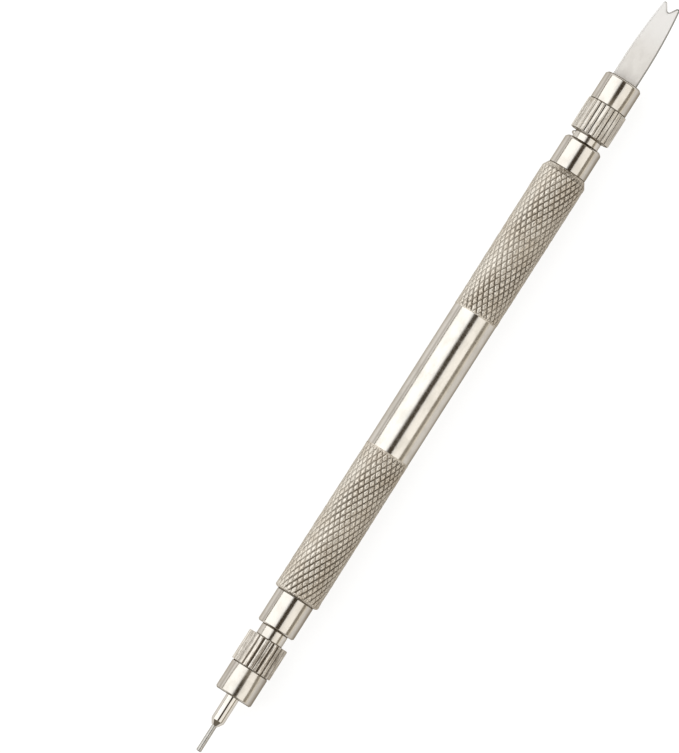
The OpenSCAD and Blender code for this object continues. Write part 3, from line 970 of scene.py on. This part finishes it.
def make_blade():
    """Flat forked blade as two mirrored half-strips, with rounded edges and a notch between its prongs."""
    drop = BLADE_HALF_W - FORK_HALF_W
    side_r = (TAPER_L ** 2 + drop ** 2) / (2 * drop)
    notch = BLADE_END - NOTCH_DEPTH
    tip_rise = math.sqrt((side_r - PRONG_R) ** 2 - (TAPER_L - PRONG_R) ** 2)
    tip = (BLADE_END - PRONG_R, BLADE_HALF_W - side_r + tip_rise)
    bottom = notch + NOTCH_R
    reach = math.hypot(tip[0] - bottom, tip[1])
    slope = math.atan2(tip[1], tip[0] - bottom) - math.asin((PRONG_R + NOTCH_R) / reach)
    stations = blade_stations(notch)
    edges = [blade_edges(x, side_r, tip, bottom, slope) for x in stations]
    outline = []
    for side in (0, 1):
        points = np.array([(x, edge[side]) for x, edge in zip(stations, edges) if side or x >= notch])
        fine = np.linspace(points[0][0], points[-1][0], 1500)
        outline.append(np.stack([fine, np.interp(fine, points[:, 0], points[:, 1])], 1))
    outline.append(np.stack([np.full(60, BLADE_START), np.linspace(0, TANG_HALF_W - TANG_CORNER, 60)], 1))
    outline = np.concatenate(outline)
    share = (1 - np.cos(np.linspace(0, math.pi, 31))) / 2
    verts, closeness, tops, bottoms = [], [], [], []
    for x, (inner, outer) in zip(stations, edges):
        across = inner + (outer - inner) * share
        away = np.array([np.hypot(outline[:, 0] - x, outline[:, 1] - y).min() for y in across])
        away[-1] = 0
        if x >= notch:
            away[0] = 0
        roll = np.clip(1 - away / BLADE_ROLL, 0, 1)
        height = BLADE_HALF_T - BLADE_ROLL_DEPTH * (1 - np.sqrt(1 - roll ** 2))
        first = len(verts)
        verts += [(x, y, AXIS_Z + h) for y, h in zip(across, height)]
        verts += [(x, y, AXIS_Z - h) for y, h in zip(across, height)]
        closeness += 2 * list(np.clip(1 - away / BLADE_EDGE, 0, 1))
        tops.append(list(range(first, first + len(share))))
        bottoms.append(list(range(first + len(share), first + 2 * len(share))))
    faces = []
    last = len(share) - 1
    for k in range(len(stations) - 1):
        for row in (tops, bottoms):
            faces += [[row[k][j], row[k + 1][j], row[k + 1][j + 1], row[k][j + 1]] for j in range(last)]
        faces.append([tops[k][-1], tops[k + 1][-1], bottoms[k + 1][-1], bottoms[k][-1]])
        if stations[k] >= notch - SMALL:
            faces.append([tops[k][0], tops[k + 1][0], bottoms[k + 1][0], bottoms[k][0]])
    for end in (0, -1):
        faces += [[tops[end][j], tops[end][j + 1], bottoms[end][j + 1], bottoms[end][j]] for j in range(last)]
    count = len(verts)
    verts += [(x, -y, z) for x, y, z in verts]
    faces += [[count + c for c in face] for face in faces]
    piece = mesh_piece("forked_blade", verts, faces)
    mark(piece, "edge", 2 * closeness)
    weld(piece)
    piece.data.materials.append(FINISHES["blade"])
    shade(piece, sharp_deg=38)
    stand_for(piece, "fork_blade")


def weld(piece):
    """Joins a mesh's doubled points and turns its faces outwards."""
    body = bmesh.new()
    body.from_mesh(piece.data)
    bmesh.ops.remove_doubles(body, verts=body.verts, dist=0.0005 * MM)
    bmesh.ops.recalc_face_normals(body, faces=body.faces)
    body.to_mesh(piece.data)
    body.free()


# ---------------------------------------------------------------- reversible tip

def make_tip():
    """Holder with a cone at each end, the thin pin in one end and the fine V-notched rod in the other."""
    rows = band([(PIN_ROOT, 0), (PIN_ROOT, PIN_R - ROD_TAPER), (HOLDER_START, PIN_R)], "inner")
    rows += band([
        (HOLDER_START, PIN_R + HAIR),
        (HOLDER_START, PIN_R + CONE_LAND, 0.05),
        (HOLDER_START + CONE_L, HOLDER_R, 0.12),
        (HOLDER_END - CONE_L, HOLDER_R, 0.12),
        (HOLDER_END, FINE_R + CONE_LAND, 0.05),
        (HOLDER_END, FINE_R + HAIR),
    ], "ground")
    rows += band([(HOLDER_END, FINE_R), (FINE_ROOT, FINE_R - ROD_TAPER), (FINE_ROOT, 0)], "inner")
    holder = turned("tip_body", rows, 96, ["ground", "inner"])
    shade(holder)
    stand_for(holder, "tip_holder")

    pin = turned("tip_pin", band([
        (PIN_START, 0),
        (PIN_START, PIN_R - PIN_POINT, 0.04),
        (PIN_START + PIN_POINT, PIN_R, 0.05),
        (HOLDER_START, PIN_R - ROD_GAP),
        (PIN_ROOT, PIN_R - ROD_TAPER - ROD_GAP),
        (PIN_ROOT, 0),
    ], "rod"), 48, ["rod"])
    shade(pin)
    stand_for(pin, "point_pin")

    fork = turned("tip_fork", band([
        (FINE_ROOT, 0),
        (FINE_ROOT, FINE_R - ROD_TAPER - ROD_GAP),
        (HOLDER_END, FINE_R - ROD_GAP),
        (FINE_END - 0.1, FINE_R, 0.05),
        (FINE_END, FINE_R - 0.08, 0.04),
        (FINE_END, 0),
    ], "rod"), 64, ["rod"])
    notch = prism("notch", [
        (FINE_END - FINE_NOTCH_L, 0),
        (FINE_END + FINE_NOTCH_L, 2 * FINE_NOTCH_HALF_W),
        (FINE_END + FINE_NOTCH_L, -2 * FINE_NOTCH_HALF_W),
    ], 0, 2 * AXIS_Z, 2)
    cut(fork, [notch])
    shade(fork)
    stand_for(fork, "fine_fork")


# ---------------------------------------------------------------- stage, light and camera

# The camera's height over the tool, the X under it, the point it aims at, and how far the tool is turned in
# its picture
CAMERA_DISTANCE = 1190.0
CAMERA_FOOT_X = -62.0
AIM = Vector((-8.33, 13.34, AXIS_Z))
TOOL_TILT_DEG = 57.52
LENS_MM = 349.7

# Soft panels over the tool as (angles from the zenith in degrees, positive towards +Y, brightness, colour)
PANELS = {
    "wide_panel": ((13.0, 82.0), 1.51, (0.905, 0.95, 1.0)),
    "soft_edge": ((8.0, 13.0), 0.62, (0.95, 0.97, 1.0)),
    "narrow_panel": ((-61.0, -15.0), 1.13, (0.965, 0.985, 1.0)),
    "low_panel": ((-90.0, -80.0), 0.76, (1.0, 0.96, 0.88)),
}
PANEL_DISTANCE = 700.0
PANEL_LENGTH = 1000.0

# The room round the panels as (degrees over the horizon, colour): pale below, dark behind the camera
ROOM = [
    (-90, (0.92, 0.92, 0.92)), (-1, (0.92, 0.92, 0.92)), (0, (0.38, 0.36, 0.325)), (12, (0.37, 0.335, 0.275)),
    (60, (0.30, 0.265, 0.21)), (76, (0.075, 0.058, 0.038)), (90, (0.06, 0.047, 0.03)),
]

# How dim the room is towards the tool's ends, and the slope along X where it starts and is full
END_DIM = 0.6
END_RANGE = (0.45, 0.85)

FLOOR_SIDE = 1500.0
FLOOR_ALBEDO = 0.27
FLOOR_GLOW = 0.83


def make_floor():
    """A plain pale floor under the tool, which glows a little so that shadows on it stay faint."""
    corners = [(FLOOR_SIDE * x, FLOOR_SIDE * y, 0) for x, y in ((-1, -1), (1, -1), (1, 1), (-1, 1))]
    floor = mesh_piece("floor", corners, [[0, 1, 2, 3]])
    if floor.data.polygons[0].normal.z < 0:
        floor.data.flip_normals()
    n = Nodes("pale_floor")
    speckle = n.noise((0.02, 0.02, 0.02))
    low, high = (FLOOR_ALBEDO - 0.01,) * 3, (FLOOR_ALBEDO + 0.01,) * 3
    n.set(n.shader.inputs["Base Color"], n.mix(speckle, low, high))
    n.shader.inputs["Roughness"].default_value = 0.9
    n.shader.inputs["Specular IOR Level"].default_value = 0.0
    n.shader.inputs["Emission Color"].default_value = (1, 1, 1, 1)
    n.shader.inputs["Emission Strength"].default_value = FLOOR_GLOW
    floor.data.materials.append(n.material)


def make_panels():
    """Long soft panels, parallel to the tool, that leave a dark gap overhead where the camera looks in."""
    for name, (zeniths, brightness, color) in PANELS.items():
        slopes = [math.radians(zenith) for zenith in zeniths]
        edges = [Vector((0, math.sin(slope), math.cos(slope))) * PANEL_DISTANCE for slope in slopes]
        across = edges[1] - edges[0]
        data = bpy.data.lights.new(name, "AREA")
        data.shape = "RECTANGLE"
        data.size = PANEL_LENGTH * MM
        data.size_y = across.length * MM
        data.color = color
        data.energy = brightness * math.pi * data.size * data.size_y
        panel = bpy.data.objects.new(name, data)
        bpy.context.scene.collection.objects.link(panel)
        side = Vector((1, 0, 0))
        centre = (edges[0] + edges[1]) / 2
        facing = side.cross(across).normalized()
        if facing.dot(centre) < 0:
            facing, across = -facing, -across
        turn = Matrix((side, across.normalized(), facing)).transposed().to_4x4()
        panel.matrix_world = Matrix.Translation((centre + Vector((0, 0, AXIS_Z))) * MM) @ turn


def make_room():
    """The surroundings, which darken with height and towards the tool's two ends."""
    world = bpy.data.worlds.new("room")
    bpy.context.scene.world = world
    world.use_nodes = True
    nodes, links = world.node_tree.nodes, world.node_tree.links
    place = nodes.new("ShaderNodeTexCoord")
    split = nodes.new("ShaderNodeSeparateXYZ")
    links.new(place.outputs["Generated"], split.inputs["Vector"])
    height = nodes.new("ShaderNodeMath")
    height.operation = "ARCSINE"
    links.new(split.outputs["Z"], height.inputs[0])
    share = nodes.new("ShaderNodeMapRange")
    share.inputs["From Min"].default_value = -math.pi / 2
    share.inputs["From Max"].default_value = math.pi / 2
    links.new(height.outputs["Value"], share.inputs["Value"])
    ramp = nodes.new("ShaderNodeValToRGB")
    elements = ramp.color_ramp.elements
    elements.remove(elements[-1])
    for k, (degrees, color) in enumerate(ROOM):
        at = degrees / 180 + 0.5
        element = elements[0] if k == 0 else elements.new(at)
        element.position = at
        element.color = (*color, 1)
    links.new(share.outputs["Result"], ramp.inputs["Fac"])
    links.new(ramp.outputs["Color"], nodes["Background"].inputs["Color"])
    side = nodes.new("ShaderNodeMath")
    side.operation = "ABSOLUTE"
    links.new(split.outputs["X"], side.inputs[0])
    dim = nodes.new("ShaderNodeMapRange")
    for key, value in zip(("From Min", "From Max", "To Min", "To Max"), (*END_RANGE, 1.0, END_DIM)):
        dim.inputs[key].default_value = value
    links.new(side.outputs["Value"], dim.inputs["Value"])
    links.new(dim.outputs["Result"], nodes["Background"].inputs["Strength"])


def make_camera():
    """Camera above the tool with a long lens, its foot near the pin end.

    It is rolled so that the fork points up and right.
    """
    eye = Vector((CAMERA_FOOT_X, AIM.y, AXIS_Z + CAMERA_DISTANCE))
    back = (eye - AIM).normalized()
    along = Vector((1, 0, 0))
    along = (along - back * along.dot(back)).normalized()
    across = back.cross(along)
    tilt = math.radians(TOOL_TILT_DEG)
    right = math.cos(tilt) * along - math.sin(tilt) * across
    up = math.sin(tilt) * along + math.cos(tilt) * across
    data = bpy.data.cameras.new("camera")
    data.lens = LENS_MM
    data.sensor_width = 36.0
    data.clip_start = 0.01
    data.clip_end = 20.0
    camera = bpy.data.objects.new("camera", data)
    bpy.context.scene.collection.objects.link(camera)
    camera.matrix_world = Matrix.Translation(eye * MM) @ Matrix((right, up, back)).transposed().to_4x4()
    bpy.context.scene.camera = camera


make_handle()
make_nut("blade_nut", "fork_nut", front=FORK_NUT_FRONT, back=FORK_NUT_BACK, nose_l=FORK_NOSE_L,
         nose_edge=FORK_NUT_EDGE, mouth_r=FORK_MOUTH_R, seat_start_r=FORK_MOUTH_R + FORK_SEAT_STEP,
         looks=("ribs", "turned"), lean=0.24, turn_deg=-5.0, seed=2054)
make_nut("tip_nut", "pin_nut", front=PIN_NUT_FRONT, back=PIN_NUT_BACK, nose_l=PIN_NOSE_L,
         nose_edge=PIN_NUT_EDGE, mouth_r=PIN_MOUTH_R, seat_start_r=PIN_MOUTH_R + PIN_SEAT_STEP,
         looks=("worn_ribs", "satin"), lean=0.06, turn_deg=-1.875, seed=1262)
make_fork_chuck()
make_pin_chuck()
make_blade()
make_tip()
make_floor()
make_panels()
make_room()
make_camera()
bpy.context.scene.view_settings.view_transform = "Standard"
